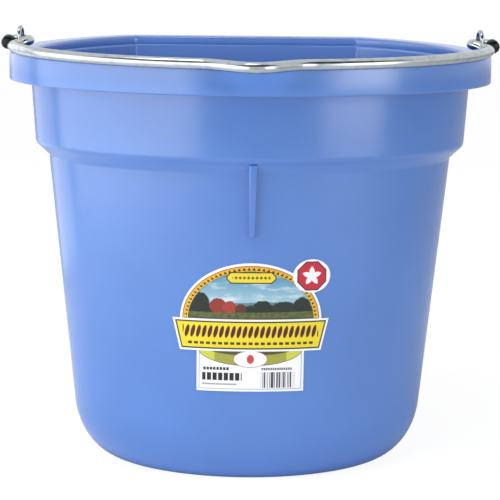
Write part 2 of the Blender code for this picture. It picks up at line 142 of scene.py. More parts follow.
def node(tree, kind, inputs=None, **settings):
    """Adds a node with its settings. An input is a value or another node's output socket."""
    made = tree.nodes.new(kind)
    for name, value in settings.items():
        setattr(made, name, value)
    for key, value in (inputs or {}).items():
        if isinstance(value, bpy.types.NodeSocket):
            tree.links.new(value, made.inputs[key])
        else:
            made.inputs[key].default_value = value
    return made


def new_material(name):
    """A material with only its Principled shader and output, and its tree and shader."""
    material = bpy.data.materials.new(name)
    material.use_nodes = True
    tree = material.node_tree
    return material, tree, tree.nodes["Principled BSDF"]


def paint(colour):
    """A socket's value from a hex colour, or from a colour that is already linear."""
    return linear(colour) if isinstance(colour, str) else (*colour, 1.0)


def between(tree, share, low, high):
    """A colour between two colours, by a socket's share."""
    ramp = node(tree, "ShaderNodeMix", {"Factor": share}, data_type="RGBA")
    ramp.inputs["A"].default_value = paint(low)
    ramp.inputs["B"].default_value = paint(high)
    return ramp.outputs["Result"]


def spread(tree, value, low, high, to_low=0.0, to_high=1.0):
    """A socket's range stretched to another one."""
    made = node(
        tree, "ShaderNodeMapRange",
        {"Value": value, "From Min": low, "From Max": high, "To Min": to_low, "To Max": to_high},
    )
    return made.outputs["Result"]


# ---------------------------------------------------------------- sizes and colours to change


def size_field(name, description, default, smallest=0.0001, largest=1.0):
    return FloatProperty(
        name=name, description=description, default=default, min=smallest, max=largest,
        subtype="DISTANCE", unit="LENGTH", precision=4,
    )


def colour_field(name, description, default):
    return FloatVectorProperty(
        name=name, description=description, default=linear(default)[:3], size=3, min=0, max=1,
        subtype="COLOR",
    )


class FeedBucketSizes(bpy.types.PropertyGroup):
    wall: size_field("Wall", "Thickness of the moulded wall", WALL)
    floor: size_field("Floor", "Thickness of the moulded floor", FLOOR)
    rim_round: size_field("Rim Round", "Radius of the rim's upper edge", RIM_ROUND)
    lip_depth: size_field("Lip", "Depth of the smooth lip inside the mouth", LIP_DEPTH)
    rib_length: size_field("Rib Length", "How far the rib hangs below the shoulder", RIB_LENGTH)
    rib_width: size_field("Rib Width", "Width of the front rib at its top", RIB_WIDTH)
    rib_proud: size_field("Rib Depth", "How far the front rib stands out at its top", RIB_PROUD)
    seat_height: size_field("Seat Height", "Height of the raised seats under the eyes", SEAT_HEIGHT)
    label_thickness: size_field("Label", "Thickness of the label paper", LABEL_THICKNESS)


class FeedBucketColours(bpy.types.PropertyGroup):
    plastic: colour_field("Plastic", "Colour of the moulded shell", "#3f77c8")
    plastic_deep: colour_field("Plastic, Deep", "The shell's colour where it is cloudy", "#3b72c2")
    rod: colour_field("Rod", "Colour of the bail's zinc", "#b8bfc3")
    rod_deep: colour_field("Rod, Deep", "The bail's zinc where it is dull", "#9aa2a7")
    vinyl: colour_field("Vinyl", "Colour of the dipped caps", "#05090e")
    paper: colour_field("Label Paper", "Colour of the label where nothing is printed", "#eceef3")
    label_band: colour_field("Label Band", "Colour of the broad band across the label", "#e9d227")
    seal: colour_field("Seal", "Colour of the eight-sided seal", "#c01c38")


# ---------------------------------------------------------------- materials


def moulded_polyethylene():
    """Injection-moulded polyethylene, pigmented through. The polished mould gives it a broad
    waxy gloss, and the cooling wall a very slight waviness and a barely cloudy colour."""
    material, tree, shader = new_material("moulded_polyethylene")
    place = node(tree, "ShaderNodeTexCoord").outputs["Object"]
    clouds = node(tree, "ShaderNodeTexNoise", {"Vector": place, "Scale": 14.0, "Detail": 3.0})
    shade = spread(tree, clouds.outputs["Fac"], 0.35, 0.65)
    tint = between(tree, shade, colours().plastic_deep, colours().plastic)
    tree.links.new(tint, shader.inputs["Base Color"])
    # Handling dulls the gloss in patches of some 20 mm
    handled = node(
        tree, "ShaderNodeTexNoise",
        {"Vector": place, "Scale": 50.0, "Detail": 5.0, "Roughness": 0.6},
    )
    rough = spread(tree, handled.outputs["Fac"], 0.3, 0.7, 0.2, 0.26)
    tree.links.new(rough, shader.inputs["Roughness"])
    # The wall's waviness is about 50 mm long, and the mould's grain 0.8 mm
    waves = node(tree, "ShaderNodeTexNoise", {"Vector": place, "Scale": 20.0, "Detail": 1.0})
    grain = node(tree, "ShaderNodeTexNoise", {"Vector": place, "Scale": 1250.0, "Detail": 2.0})
    wavy = node(
        tree, "ShaderNodeBump",
        {"Height": waves.outputs["Fac"], "Strength": 0.2, "Distance": 0.0008},
    )
    fine = node(
        tree, "ShaderNodeBump",
        {
            "Height": grain.outputs["Fac"], "Strength": 0.05, "Distance": 0.0002,
            "Normal": wavy.outputs["Normal"],
        },
    )
    tree.links.new(fine.outputs["Normal"], shader.inputs["Normal"])
    shader.inputs["IOR"].default_value = 1.53
    shader.inputs["Specular IOR Level"].default_value = 1.0
    shader.inputs["Coat Weight"].default_value = 0.3
    shader.inputs["Coat Roughness"].default_value = 0.2
    shader.inputs["Subsurface Weight"].default_value = 0.08
    shader.inputs["Subsurface Radius"].default_value = (0.6, 0.8, 1.0)
    shader.inputs["Subsurface Scale"].default_value = 0.002
    return material


def galvanised(name, colour, deep, roughness, crystal_size):
    """Bright zinc on drawn steel: a pale grey metal with a satin gloss, and crystals so faint
    that they only cloud it. The crystal size is in metres."""
    material, tree, shader = new_material(name)
    place = node(tree, "ShaderNodeTexCoord").outputs["Object"]
    crystals = node(
        tree, "ShaderNodeTexVoronoi",
        {"Vector": place, "Scale": 1 / crystal_size}, feature="SMOOTH_F1",
    )
    dirt = node(tree, "ShaderNodeTexNoise", {"Vector": place, "Scale": 120.0, "Detail": 5.0})
    facet = node(tree, "ShaderNodeSeparateColor", {"Color": crystals.outputs["Color"]})
    share = node(
        tree, "ShaderNodeMath",
        {0: spread(tree, dirt.outputs["Fac"], 0.3, 0.7), 1: facet.outputs["Red"]},
        operation="MULTIPLY",
    )
    grey = between(tree, share.outputs["Value"], colour, deep)
    tree.links.new(grey, shader.inputs["Base Color"])
    rough = spread(tree, dirt.outputs["Fac"], 0.25, 0.75, roughness * 0.85, roughness * 1.15)
    tree.links.new(rough, shader.inputs["Roughness"])
    bump = node(
        tree, "ShaderNodeBump",
        {"Height": dirt.outputs["Fac"], "Strength": 0.05, "Distance": 0.0002},
    )
    tree.links.new(bump.outputs["Normal"], shader.inputs["Normal"])
    shader.inputs["Metallic"].default_value = 1.0
    return material


def dipped_vinyl():
    """Soft vinyl, dipped over the rod's end: nearly black, with a slightly greasy sheen."""
    material, tree, shader = new_material("dipped_vinyl")
    place = node(tree, "ShaderNodeTexCoord").outputs["Object"]
    dust = node(tree, "ShaderNodeTexNoise", {"Vector": place, "Scale": 300.0, "Detail": 4.0})
    share = spread(tree, dust.outputs["Fac"], 0.45, 0.8)
    tree.links.new(between(tree, share, colours().vinyl, "#10161d"), shader.inputs["Base Color"])
    tree.links.new(
        spread(tree, dust.outputs["Fac"], 0.3, 0.7, 0.2, 0.3), shader.inputs["Roughness"]
    )
    bump = node(
        tree, "ShaderNodeBump",
        {"Height": dust.outputs["Fac"], "Strength": 0.1, "Distance": 0.0002},
    )
    tree.links.new(bump.outputs["Normal"], shader.inputs["Normal"])
    shader.inputs["Specular IOR Level"].default_value = 0.25
    return material


# ---------------------------------------------------------------- the printed label


class Print:
    """Draws flat shapes over each other in a material. Places are millimetres on the label:
    across from the bucket's middle, and up from its underside."""

    def __init__(self, tree, paper):
        self.tree = tree
        span = millimetres(MAP_SPAN)
        uv = node(tree, "ShaderNodeTexCoord").outputs["UV"]
        sized = node(
            tree, "ShaderNodeMapping",
            {"Vector": uv, "Location": (-span / 2, 0.0, 0.0), "Scale": (span, span, 1.0)},
        )
        parts = node(tree, "ShaderNodeSeparateXYZ", {"Vector": sized.outputs["Vector"]})
        self.across, self.up = parts.outputs["X"], parts.outputs["Y"]
        self.point = sized.outputs["Vector"]
        start = node(tree, "ShaderNodeRGB")
        start.outputs[0].default_value = paint(paper)
        self.colour = start.outputs[0]

    def sum(self, operation, first, second=0.0, third=0.0):
        made = node(
            self.tree, "ShaderNodeMath", {0: first, 1: second, 2: third}, operation=operation
        )
        return made.outputs["Value"]

    def inside(self, distance, soft=0.12):
        """1 where a distance is under 0, with an edge as soft as ink's."""
        return spread(self.tree, distance, soft, -soft)

    def off(self, socket, centre):
        return self.sum("SUBTRACT", socket, centre)

    def oval(self, x, y, half_width, half_height):
        """Distance from an oval's edge, nearly, in millimetres."""
        dx = self.sum("DIVIDE", self.off(self.across, x), half_width)
        dy = self.sum("DIVIDE", self.off(self.up, y), half_height)
        share = self.sum("SQRT", self.squares(dx, dy))
        return self.sum("MULTIPLY", self.off(share, 1.0), min(half_width, half_height))

    def block(self, x, y, half_width, half_height):
        """Distance from a rectangle's edge."""
        dx = self.beyond(self.off(self.across, x), half_width)
        dy = self.beyond(self.off(self.up, y), half_height)
        return self.sum("MAXIMUM", dx, dy)

    def both(self, first, second):
        return self.sum("MAXIMUM", first, second)

    def beyond(self, socket, half):
        """How far a place lies past a half width, on either side of 0."""
        return self.off(self.sum("ABSOLUTE", socket), half)

    def squares(self, first, second):
        return self.sum("MULTIPLY_ADD", first, first, self.sum("MULTIPLY", second, second))

    def ink(self, distance, colour, soft=0.12):
        """Lays an ink over all that lies inside a shape. The ink is a colour or a socket."""
        mix = node(
            self.tree, "ShaderNodeMix",
            {"Factor": self.inside(distance, soft), "A": self.colour}, data_type="RGBA",
        )
        if isinstance(colour, bpy.types.NodeSocket):
            self.tree.links.new(colour, mix.inputs["B"])
        else:
            mix.inputs["B"].default_value = paint(colour)
        self.colour = mix.outputs["Result"]

    def repeated(self, socket, pitch):
        """Distance from the middle of the nearest of evenly spaced places."""
        return self.sum("PINGPONG", socket, pitch / 2)


def millimetres(metres):
    return metres * 1000


def draw_landscape(print_):
    """A plain field below wooded hills, with light clouds, inside the arch."""
    tree = print_.tree
    centre = millimetres(BAND_TOP)
    half, rise = millimetres(ARCH_HALF), millimetres(ARCH_RISE)
    above = print_.sum("SUBTRACT", centre - 3, print_.up)

    def arch(margin_side, margin_top):
        return print_.both(print_.oval(0, centre, half - margin_side, rise - margin_top), above)

    print_.ink(arch(1.7, 2.0), "#4a2a14")
    print_.ink(arch(2.2, 2.5), "#e3a91f")
    # Dark teeth stand round the border, 3.6 mm apart, with their points outwards
    turn = print_.sum(
        "ARCTAN2",
        print_.sum("DIVIDE", print_.off(print_.up, centre), rise),
        print_.sum("DIVIDE", print_.across, half),
    )
    teeth = print_.repeated(print_.sum("MULTIPLY", turn, 47.0), 3.6)
    depth = print_.oval(0, centre, half - 2.2, rise - 2.5)
    slope = print_.sum("MULTIPLY_ADD", teeth, 1.7, print_.sum("ADD", depth, 0.6))
    print_.ink(slope, "#33160f", 0.2)
    print_.ink(arch(5.2, 5.5), "#e8cf3a")
    print_.ink(arch(5.7, 6.0), "#3b3320")

    inner = arch(6.1, 6.4)
    height = spread(tree, print_.up, 132.0, 162.0)
    sky = between(tree, height, "#a9cbd6", "#2f7fa9")
    drift = node(tree, "ShaderNodeMapping", {"Vector": print_.point, "Scale": (0.05, 0.16, 1.0)})
    cloud = node(
        tree, "ShaderNodeTexNoise",
        {"Vector": drift.outputs["Vector"], "Scale": 1.0, "Detail": 4.0, "Roughness": 0.55},
    )
    veil = node(
        tree, "ShaderNodeMix",
        {"Factor": spread(tree, cloud.outputs["Fac"], 0.5, 0.72, 0.0, 0.85), "A": sky},
        data_type="RGBA",
    )
    veil.inputs["B"].default_value = linear("#e3eef0")
    print_.ink(inner, veil.outputs["Result"])

    leaves = node(
        tree, "ShaderNodeTexNoise",
        {"Vector": print_.point, "Scale": 0.55, "Detail": 3.0, "Roughness": 0.6},
    )

    def land(level, wave, size, seed, colour):
        """Everything in the arch below a line that rises and falls."""
        shifted = node(
            tree, "ShaderNodeMapping",
            {"Vector": print_.point, "Location": (seed, seed, 0.0), "Scale": (size, size * 0.3, 1)},
        )
        crest = node(
            tree, "ShaderNodeTexNoise",
            {"Vector": shifted.outputs["Vector"], "Scale": 1.0, "Detail": 5.0, "Roughness": 0.6},
        )
        line = print_.sum("MULTIPLY_ADD", crest.outputs["Fac"], wave, level)
        print_.ink(print_.both(inner, print_.sum("SUBTRACT", print_.up, line)), colour, 0.25)

    land(135.5, 5.0, 0.030, 3.0, "#5f7f88")
    land(131.5, 10.0, 0.055, 11.0, "#2f4636")
    land(128.0, 15.0, 0.11, 27.0, "#17251e")
    # Round trees stand at the field's far edge, some of them in autumn colours
    for x, y, half_width, half_height, colour in (
        (-37.5, 137.0, 7.5, 8.5, "#14221d"),
        (-24.0, 135.5, 6.0, 5.6, "#8e2f25"),
        (-15.5, 134.5, 5.2, 4.6, "#a03a2b"),
        (-7.5, 133.5, 4.0, 3.6, "#5b2a20"),
        (8.5, 135.0, 6.5, 4.6, "#16261c"),
        (24.0, 134.5, 9.0, 4.4, "#1b2b20"),
        (37.0, 136.0, 6.0, 6.0, "#18261d"),
    ):
        ragged = print_.sum(
            "MULTIPLY_ADD", leaves.outputs["Fac"], 3.0,
            print_.sum("SUBTRACT", print_.oval(x, y, half_width, half_height), 1.5),
        )
        print_.ink(print_.both(inner, ragged), colour, 0.2)
    mottle = node(
        tree, "ShaderNodeTexNoise",
        {"Vector": print_.point, "Scale": 0.35, "Detail": 4.0, "Roughness": 0.6},
    )
    grass = between(tree, spread(tree, mottle.outputs["Fac"], 0.35, 0.65), "#3c4f27", "#6c6a38")
    land(129.5, 3.0, 0.020, 40.0, grass)
    land(124.5, 5.0, 0.017, 52.0, "#4a4a2a")


def draw_seal(print_):
    """A plain eight-sided seal with a star of no meaning."""
    x, y = millimetres(SEAL_SIDE), millimetres(SEAL_Z)
    half_width, half_height = millimetres(SEAL_HALF_WIDTH), millimetres(SEAL_HALF_HEIGHT)
    print_.ink(print_.oval(x, y, half_width, half_height), "#eef0f4")
    dx = print_.sum("ABSOLUTE", print_.off(print_.across, x))
    dy = print_.sum("ABSOLUTE", print_.off(print_.up, y))
    slant = print_.sum("MULTIPLY", print_.sum("ADD", dx, dy), 0.7071)
    widest = print_.sum("MAXIMUM", print_.sum("MAXIMUM", dx, dy), slant)
    print_.ink(print_.off(widest, 10.8), "#2c1018")
    print_.ink(print_.off(widest, 10.0), colours().seal)
    radius = print_.sum("SQRT", print_.squares(dx, dy))
    turn = print_.sum("ARCTAN2", print_.off(print_.across, x), print_.off(print_.up, y))
    point = print_.repeated(turn, 2 * pi / 5)
    reach = print_.sum("MULTIPLY_ADD", point, -6.4, 7.2)
    print_.ink(print_.sum("SUBTRACT", radius, reach), "#f2eef0")


def draw_band(print_):
    """The yellow band, with a row of slanting oat grains and a row of dashes."""
    foot, top = millimetres(BAND_FOOT), millimetres(BAND_TOP)
    half_top, half_foot = millimetres(BAND_HALF_TOP), millimetres(BAND_HALF_FOOT)
    lean = (half_top - half_foot) / (top - foot)
    side = print_.sum(
        "SUBTRACT",
        print_.sum("ABSOLUTE", print_.across),
        print_.sum("MULTIPLY_ADD", print_.off(print_.up, top), lean, half_top),
    )
    middle, half = (top + foot) / 2, (top - foot) / 2
    tall = print_.beyond(print_.off(print_.up, middle), half)
    edge = print_.both(side, tall)
    print_.ink(edge, "#eef0f2")
    print_.ink(print_.sum("ADD", edge, 1.5), "#22371d")
    print_.ink(print_.sum("ADD", edge, 2.6), colours().label_band)
    # Grains, 4.2 mm apart and 9 mm tall
    grain_y = print_.off(print_.up, middle + 2.6)
    leaning = print_.sum("MULTIPLY_ADD", grain_y, -0.22, print_.across)
    grain_x = print_.repeated(print_.sum("ADD", leaning, 231.0), 4.2)
    dx = print_.sum("DIVIDE", grain_x, 1.5)
    dy = print_.sum("DIVIDE", grain_y, 4.6)
    round_ = print_.off(print_.squares(dx, dy), 1.0)
    within = print_.beyond(print_.across, 49.5)
    print_.ink(print_.both(round_, within), "#4c1218")
    # Dashes, 4.4 mm apart
    dash_x = print_.off(print_.repeated(print_.sum("ADD", print_.across, 220.0), 4.4), 1.45)
    dash_y = print_.beyond(print_.off(print_.up, middle - 6.1), 1.0)
    narrow = print_.beyond(print_.across, 47.0)
    print_.ink(print_.both(print_.both(dash_x, dash_y), narrow), "#3c3316")


def draw_panel(print_):
    """The white panel below, with its frame, plain bars and a block of upright bars."""
    half, foot = millimetres(PANEL_HALF), millimetres(PANEL_FOOT)
    top = millimetres(BAND_FOOT)
    middle, tall = (top + foot) / 2, (top - foot) / 2
    print_.ink(print_.block(0, middle, half - 1.7, tall - 1.7), "#6f7f86")
    print_.ink(print_.block(0, middle, half - 2.1, tall - 2.1), "#f1f1f6")
    # Rows of plain blocks, each block as wide as its pitch less a small space
    for x, y, half_width, half_height, pitch, colour in (
        (-25.0, 88.2, 9.6, 1.1, 2.4, "#2b2d33"),
        (-20.5, 82.2, 14.4, 2.9, 4.1, "#191b20"),
        (-22.6, 76.4, 12.6, 0.6, 1.4, "#777b82"),
        (19.0, 88.2, 11.2, 0.9, 1.6, "#5d6067"),
    ):
        place = print_.repeated(print_.sum("ADD", print_.across, 200.0), pitch)
        space = print_.sum("SUBTRACT", pitch * 0.12, place)
        print_.ink(print_.both(print_.block(x, y, half_width, half_height), space), colour)
    # Upright bars of uneven width
    strips = node(
        print_.tree, "ShaderNodeMapping", {"Vector": print_.point, "Scale": (1.0, 0.0, 1.0)}
    )
    uneven = node(
        print_.tree, "ShaderNodeTexNoise",
        {"Vector": strips.outputs["Vector"], "Scale": 1.0, "Detail": 0.0},
        noise_dimensions="3D",
    )
    bars = spread(print_.tree, uneven.outputs["Fac"], 0.47, 0.53, -1.0, 1.0)
    print_.ink(print_.both(bars, print_.block(20.0, 79.8, 12.2, 6.0)), "#24262c")


def draw_ribbon(print_):
    """An olive ribbon that hangs under the band, with a plain white oval on its middle."""
    y = millimetres(BAND_FOOT) + 1.5
    below = print_.off(print_.up, y)
    print_.ink(print_.both(print_.oval(0, y, 38.0, 12.6), below), "#59662a")
    folded = spread(print_.tree, print_.sum("ABSOLUTE", print_.across), 25.5, 26.5)
    cloth = between(print_.tree, folded, "#a09f3f", "#c6cb45")
    print_.ink(print_.both(print_.oval(0, y, 37.4, 12.0), below), cloth)
    print_.ink(print_.both(print_.oval(0, y, 30.0, 4.6), below), "#59662a")
    print_.ink(print_.both(print_.oval(0, y, 29.4, 4.1), below), "#4d4a2c")
    print_.ink(print_.oval(0, y - 7.4, 12.4, 6.4), "#9c4a44")
    print_.ink(print_.oval(0, y - 7.4, 12.0, 6.0), "#f4eff2")
    print_.ink(print_.oval(0, y - 7.4, 2.6, 3.4), "#c8443c")


def draw_plaque(print_):
    """A small yellow plaque at the arch's top, with a row of diamonds 3 mm apart."""
    up = print_.off(print_.up, 156.6)
    slant = print_.sum("ADD", print_.sum("ABSOLUTE", print_.across), print_.sum("ABSOLUTE", up))
    for grow, colour in ((0.9, "#3a3c18"), (0.0, "#e6cf35")):
        plain = print_.both(
            print_.beyond(print_.across, 17.0 + grow), print_.beyond(up, 3.5 + grow)
        )
        print_.ink(print_.both(plain, print_.off(slant, 17.9 + grow * 1.4)), colour)
    row = print_.repeated(print_.sum("ADD", print_.across, 200.0), 3.0)
    diamond = print_.sum("ADD", row, print_.sum("ABSOLUTE", up))
    bounded = print_.beyond(print_.across, 13.6)
    print_.ink(print_.both(print_.off(diamond, 1.3), bounded), "#6b5a1c")


def printed_label():
    """Coated label paper, offset printed: bright inks under a thin clear gloss."""
    material, tree, shader = new_material("printed_label")
    # Shapes are inked from the back of the picture to its front
    print_ = Print(tree, colours().paper)
    draw_landscape(print_)
    draw_panel(print_)
    draw_ribbon(print_)
    draw_band(print_)
    draw_seal(print_)
    draw_plaque(print_)
    tree.links.new(print_.colour, shader.inputs["Base Color"])
    fibre = node(tree, "ShaderNodeTexNoise", {"Vector": print_.point, "Scale": 2.2, "Detail": 3.0})
    bump = node(
        tree, "ShaderNodeBump",
        {"Height": fibre.outputs["Fac"], "Strength": 0.1, "Distance": 0.0001},
    )
    tree.links.new(bump.outputs["Normal"], shader.inputs["Normal"])
    shader.inputs["Roughness"].default_value = 0.42
    return material


# ---------------------------------------------------------------- modelling helpers


def deselect():
    if bpy.context.object and bpy.context.object.mode != "OBJECT":
        bpy.ops.object.mode_set(mode="OBJECT")
    bpy.ops.object.select_all(action="DESELECT")


def only(piece):
    deselect()
    piece.select_set(True)
    bpy.context.view_layer.objects.active = piece


def settle(piece):
    """Puts a piece's place and turn into its mesh."""
    only(piece)
    bpy.ops.object.transform_apply(location=True, rotation=True, scale=True)


def apply_modifiers(piece):
    only(piece)
    for modifier in list(piece.modifiers):
        bpy.ops.object.modifier_apply(modifier=modifier.name)


def shade(piece, angle):
    only(piece)
    bpy.ops.object.shade_smooth_by_angle(angle=angle)


def dress(piece, material, body, slot, *replaced):
    """Gives a finished piece its material and its body, and hides the nodes it stands for. The slot
    is not used.
    """
    piece.data.materials.clear()
    piece.data.materials.append(material)
    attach(piece, body)
    if replaced:
        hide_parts(*replaced)


def joined(target, tool, operation):
    """Joins a closed tool to a piece or cuts it out, and removes the tool."""
    modifier = target.modifiers.new(tool.name, "BOOLEAN")
    modifier.operation = operation
    modifier.object = tool
    apply_modifiers(target)
    bpy.data.objects.remove(tool)


def merged_copy(name, node_name):
    """A copy of a frame node as one merged mesh, ready to be refined."""
    only(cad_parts[node_name])
    bpy.ops.object.duplicate()
    piece = bpy.context.object
    piece.name = name
    piece.parent = None
    for key in [key for key in piece.keys() if key.startswith("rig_")]:
        del piece[key]
    bpy.ops.object.mode_set(mode="EDIT")
    bpy.ops.mesh.select_all(action="SELECT")
    bpy.ops.mesh.remove_doubles(threshold=0.00001)
    bpy.ops.mesh.tris_convert_to_quads()
    bpy.ops.object.mode_set(mode="OBJECT")
    return piece


# ---------------------------------------------------------------- the D-shaped plan


def oval(angle):
    """Point and outward normal of the rim's oval. 0 is the front, 90 degrees the +X side."""
    reach = FRONT_REACH if angle <= pi / 2 else BACK_OVAL
    point = Vector((HALF_WIDTH * sin(angle), -reach * cos(angle)))
    normal = Vector((reach * sin(angle), -HALF_WIDTH * cos(angle))).normalized()
    return point, normal


def inset_oval(angle, inset):
    point, normal = oval(angle)
    return point - normal * inset


def corner_angle(inset):
    """Where the inset oval reaches the inset line of the flat back."""
    low, high = pi / 2, pi
    for _ in range(40):
        middle = (low + high) / 2
        if inset_oval(middle, inset).y < BACK_REACH - inset:
            low = middle
        else:
            high = middle
    return low


def plan(inset, corner, sideways=0.0):
    """The D-shaped outline at an inset from the rim's edge, with its back corners rounded.
    Its sides lie further in by sideways, its front doesn't, and its back takes a share."""
    back_inset = inset + sideways * BACK_SHARE
    turn = corner_angle(back_inset + corner)
    centre = inset_oval(turn, back_inset + corner)
    side = []
    for k in range(FRONT_STEPS):
        angle = pi / 2 * k / FRONT_STEPS
        side.append(inset_oval(angle, inset + sideways * sin(angle) ** 2))
    for k in range(SIDE_STEPS):
        share = 1 - (1 - BACK_SHARE) * (k / SIDE_STEPS) ** 2
        angle = pi / 2 + (turn - pi / 2) * k / SIDE_STEPS
        side.append(inset_oval(angle, inset + sideways * share))
    normal = oval(turn)[1]
    start = normal.angle_signed(Vector((0, 1)))
    for k in range(CORNER_STEPS + 1):
        outward = normal.copy()
        outward.rotate(Matrix.Rotation(-start * k / CORNER_STEPS, 2))
        side.append(centre + outward * corner)
    side.append(Vector((0, BACK_REACH - back_inset)))
    other = [Vector((-point.x, point.y)) for point in side[-2:0:-1]]
    return side + other


def lower_inset(z):
    """Inset of the lower wall's outer face at a height."""
    return LOWER_TOP_INSET + (SHOULDER_Z - z) * WALL_TAPER


def arc(centre_inset, centre_z, radius, start, stop, steps):
    """Inset and height along an arc. -90 degrees is down, and 0 points out of the bucket."""
    for k in range(steps + 1):
        angle = start + (stop - start) * k / steps
        yield centre_inset - radius * cos(angle), centre_z + radius * sin(angle)


def base_round(floor_z, wall_inset, steps=16):
    """Inset, height and sideways inset along the rounded edge between a floor and the wall."""
    rows = []
    for k in range(steps + 1):
        angle = pi / 2 * (steps - k) / steps
        z = floor_z + (BASE_RISE - floor_z) * (1 - sin(angle))
        reach = 1 - cos(angle)
        inset = lower_inset(z) + wall_inset + (BASE_ROUND_FRONT - wall_inset) * reach
        rows.append((inset, z, (BASE_ROUND_SIDE - BASE_ROUND_FRONT) * reach))
    return rows


def shoulder(wall_inset):
    """The stepped shoulder, with a small hollow where the lower wall ends."""
    centre_inset = UPPER_FOOT_INSET + SHOULDER_ROUND + wall_inset
    foot = LOWER_TOP_INSET + wall_inset
    rows = [(foot + 0.0002, SHOULDER_Z - 0.0015), (foot, SHOULDER_Z)]
    rows += list(
        arc(centre_inset, SHOULDER_Z + SHOULDER_RISE, SHOULDER_ROUND, radians(-50), 0, 6)
    )
    return rows


def section():
    """Inset, height, back-corner radius and sideways inset up the outside, over the rim and
    its hanging band, and down the inside."""
    wall, floor = sizes().wall, sizes().floor
    rim_round, lip_depth = sizes().rim_round, sizes().lip_depth
    crease = CREASE + wall
    band_corner = RIM_CORNER - BAND_WALL
    underside, band_foot, soft = RIM_Z - FLANGE, RIM_Z - BAND_DEPTH, rim_round / 4
    outer_base = base_round(0, 0)
    rows = [(outer_base[0][0] + FLAT_EDGE, 0, crease, outer_base[0][2])]
    rows += [(inset, z, crease, sideways) for inset, z, sideways in outer_base]
    levels = [0.075 + 0.03 * k for k in range(5)]
    rows += [(lower_inset(z), z, crease) for z in levels]
    rows += [(inset, z, crease) for inset, z in shoulder(0)]
    rows += [
        (UPPER_TOP_INSET + 0.0012, RIM_Z - 0.03, crease),
        (UPPER_TOP_INSET, underside - soft, crease),
        (UPPER_TOP_INSET - soft * 0.3, underside - soft * 0.3, crease),
        (UPPER_TOP_INSET - soft, underside, crease),
        (BAND_WALL + soft, underside, band_corner),
        (BAND_WALL, underside - soft, band_corner),
        (BAND_WALL, band_foot + soft, band_corner),
        (BAND_WALL - soft * 0.3, band_foot + soft * 0.3, band_corner),
        (BAND_WALL - soft, band_foot, band_corner),
    ]
    rows += [
        (inset, z, RIM_CORNER)
        for inset, z in arc(
            BAND_FOOT_ROUND, band_foot + BAND_FOOT_ROUND, BAND_FOOT_ROUND, -pi / 2, 0, 3
        )
    ]
    rows.append((0, RIM_Z - 0.012, RIM_CORNER))
    rows += [
        (inset, z, RIM_CORNER - rim_round)
        for inset, z in arc(rim_round, RIM_Z - rim_round, rim_round, 0, pi / 2, 6)
    ]
    lip = UPPER_TOP_INSET + wall - LIP_STEP
    rows += [
        (inset, z, RIM_CORNER / 2)
        for inset, z in arc(lip - LIP_ROUND, RIM_Z - LIP_ROUND, -LIP_ROUND, -pi / 2, 0, 4)
    ]
    rows += [
        (lip, RIM_Z - lip_depth, RIM_CORNER / 2),
        (lip + LIP_STEP * 0.5, RIM_Z - lip_depth - LIP_STEP * 0.2, CREASE * 2),
        (lip + LIP_STEP, RIM_Z - lip_depth - LIP_STEP, CREASE),
        (lip + LIP_STEP + 0.0001, RIM_Z - lip_depth - LIP_STEP * 3, CREASE),
    ]
    rows += [(inset, z, CREASE) for inset, z in reversed(shoulder(wall))]
    rows += [(lower_inset(z) + wall, z, CREASE) for z in reversed(levels)]
    inner_base = base_round(floor, wall)
    rows += [(inset, z, CREASE, sideways) for inset, z, sideways in reversed(inner_base)]
    rows.append((inner_base[0][0] + FLAT_EDGE, floor, CREASE, inner_base[0][2]))
    return rows


# ---------------------------------------------------------------- operators


def raise_outline(piece, rows):
    """Extrudes a piece's open edge again and again, and lays each new edge on its outline."""
    only(piece)
    bpy.ops.object.mode_set(mode="EDIT")
    bpy.ops.mesh.select_mode(type="VERT")
    shape = bmesh.from_edit_mesh(piece.data)
    shape.verts.ensure_lookup_table()
    ring = list(shape.verts)
    for row, (inset, z, *shape_of_row) in enumerate(rows):
        if row:
            bpy.ops.mesh.extrude_region_move()
            shape = bmesh.from_edit_mesh(piece.data)
            fresh = {tuple(round(c, 7) for c in v.co): v for v in shape.verts if v.select}
            ring = [fresh[place] for place in places]
        for vert, point in zip(ring, plan(inset, *shape_of_row)):
            vert.co = (point.x, point.y, z)
        places = [tuple(round(c, 7) for c in v.co) for v in ring]
        bmesh.update_edit_mesh(piece.data)
    bpy.ops.mesh.edge_face_add()
    bpy.ops.object.mode_set(mode="OBJECT")


